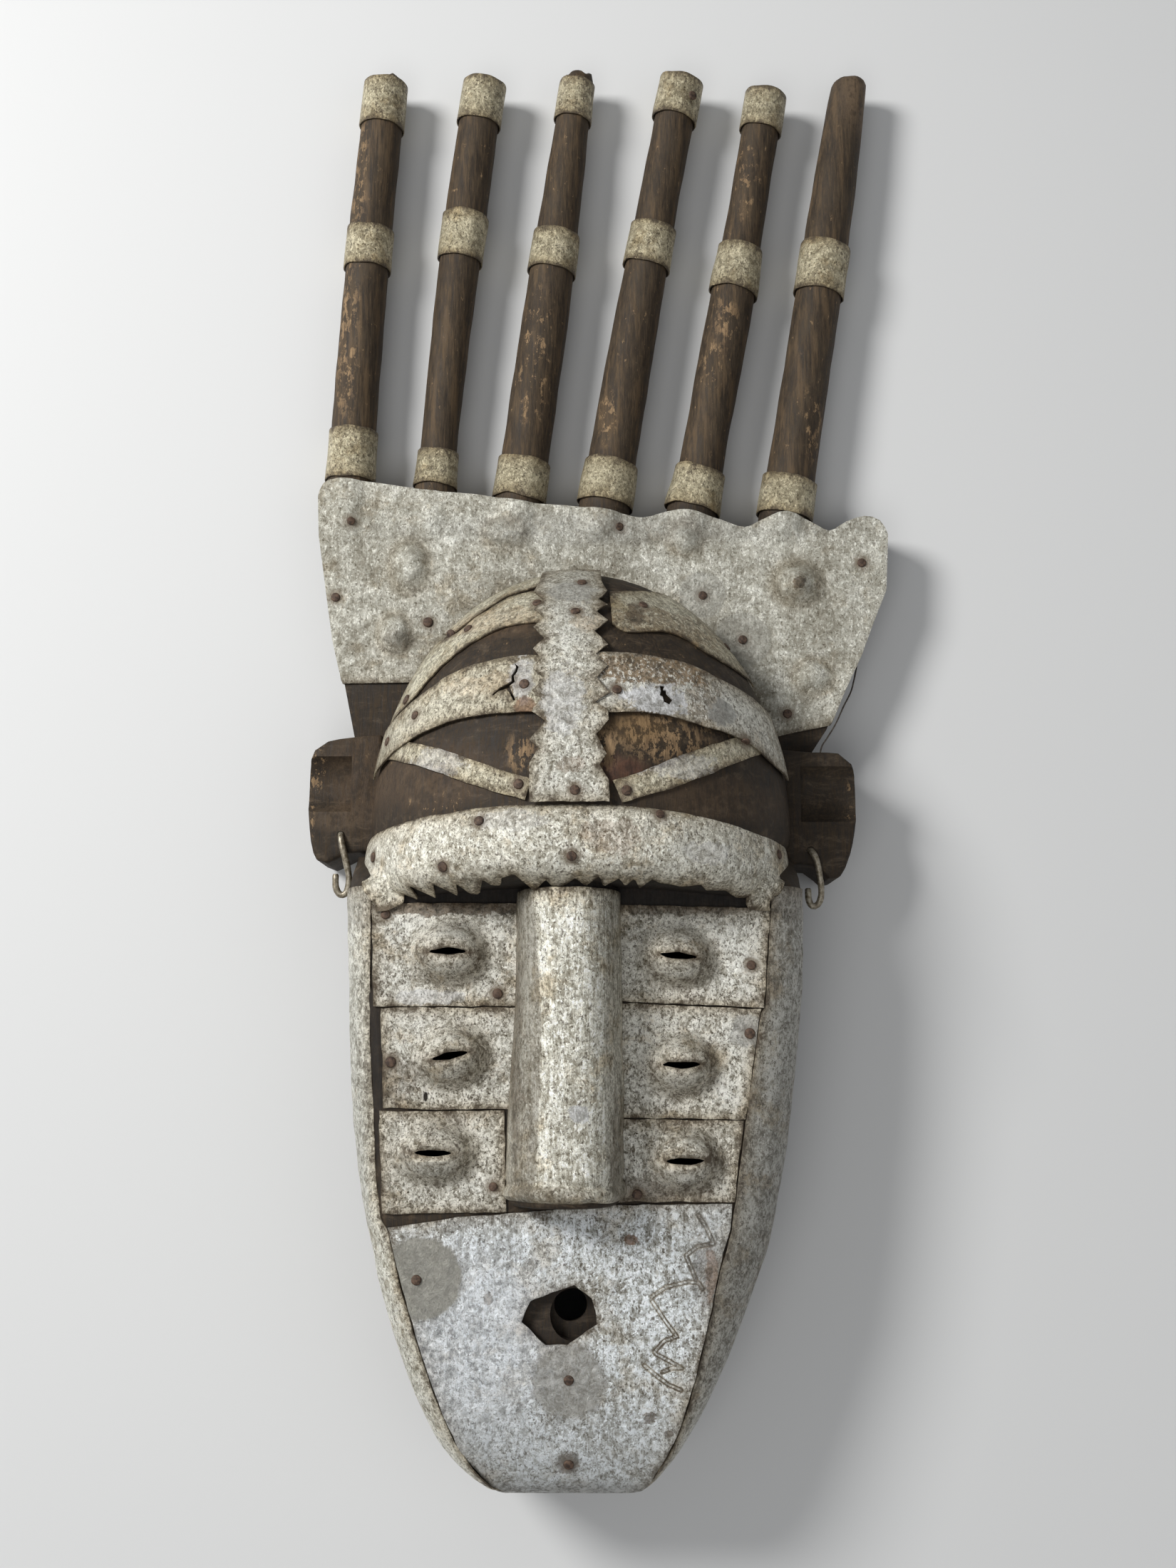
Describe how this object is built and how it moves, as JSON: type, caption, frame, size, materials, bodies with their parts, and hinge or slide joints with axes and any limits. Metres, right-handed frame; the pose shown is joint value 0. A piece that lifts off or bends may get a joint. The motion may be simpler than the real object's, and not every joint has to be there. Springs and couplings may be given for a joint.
{
  "type": "carved face mask",
  "caption": "Carved wooden face mask with a domed forehead, block ears, a bar nose and a comb of leaning rods on a crest plate, clad in nailed sheet metal.",
  "frame": {"origin": "centre of the bounding box, on the surface that the mask lies on", "axes": "+X to the mask's left-hand side as seen in the picture's right, +Y from the chin to the rods' tips, +Z from the open back to the front"},
  "size_m": [0.2908, 0.7168, 0.1318],
  "materials": {
    "wood": "very dark brown carved wood, dry, dusty and worn",
    "sheet": "oxidised sheet, dull, mottled grey and white with brown grime",
    "rod_band": "oxidised thin sheet, dull, warm grey",
    "bent_bar": "dull grey bent bar",
    "nail": "rusty brown nail heads"
  },
  "bodies": {
    "root": {"carved_body": "wood", "crest_sheet": "sheet", "forehead_centre_strip": "sheet", "forehead_strip_left_rim": "sheet", "forehead_strip_left_upper": "sheet", "forehead_strip_left_middle": "sheet", "forehead_strip_left_lower": "sheet", "forehead_strip_right_upper": "sheet", "forehead_strip_right_middle": "sheet", "forehead_strip_right_lower": "sheet", "brow_band": "sheet", "eye_plate_left_upper": "sheet", "eye_plate_left_middle": "sheet", "eye_plate_left_lower": "sheet", "eye_plate_right_upper": "sheet", "eye_plate_right_middle": "sheet", "eye_plate_right_lower": "sheet", "nose_sheath": "sheet", "chin_plate": "sheet", "side_strip_left": "sheet", "side_strip_right": "sheet", "rod_1_band_lower": "rod_band", "rod_1_band_middle": "rod_band", "rod_1_band_upper": "rod_band", "rod_2_band_lower": "rod_band", "rod_2_band_middle": "rod_band", "rod_2_band_upper": "rod_band", "rod_3_band_lower": "rod_band", "rod_3_band_middle": "rod_band", "rod_3_band_upper": "rod_band", "rod_4_band_lower": "rod_band", "rod_4_band_middle": "rod_band", "rod_4_band_upper": "rod_band", "rod_5_band_lower": "rod_band", "rod_5_band_middle": "rod_band", "rod_5_band_upper": "rod_band", "rod_6_band_lower": "rod_band", "rod_6_band_middle": "rod_band", "ear_hook_left": "bent_bar", "ear_hook_right": "bent_bar", "loose_wire": "bent_bar"}
  },
  "joints": []
}
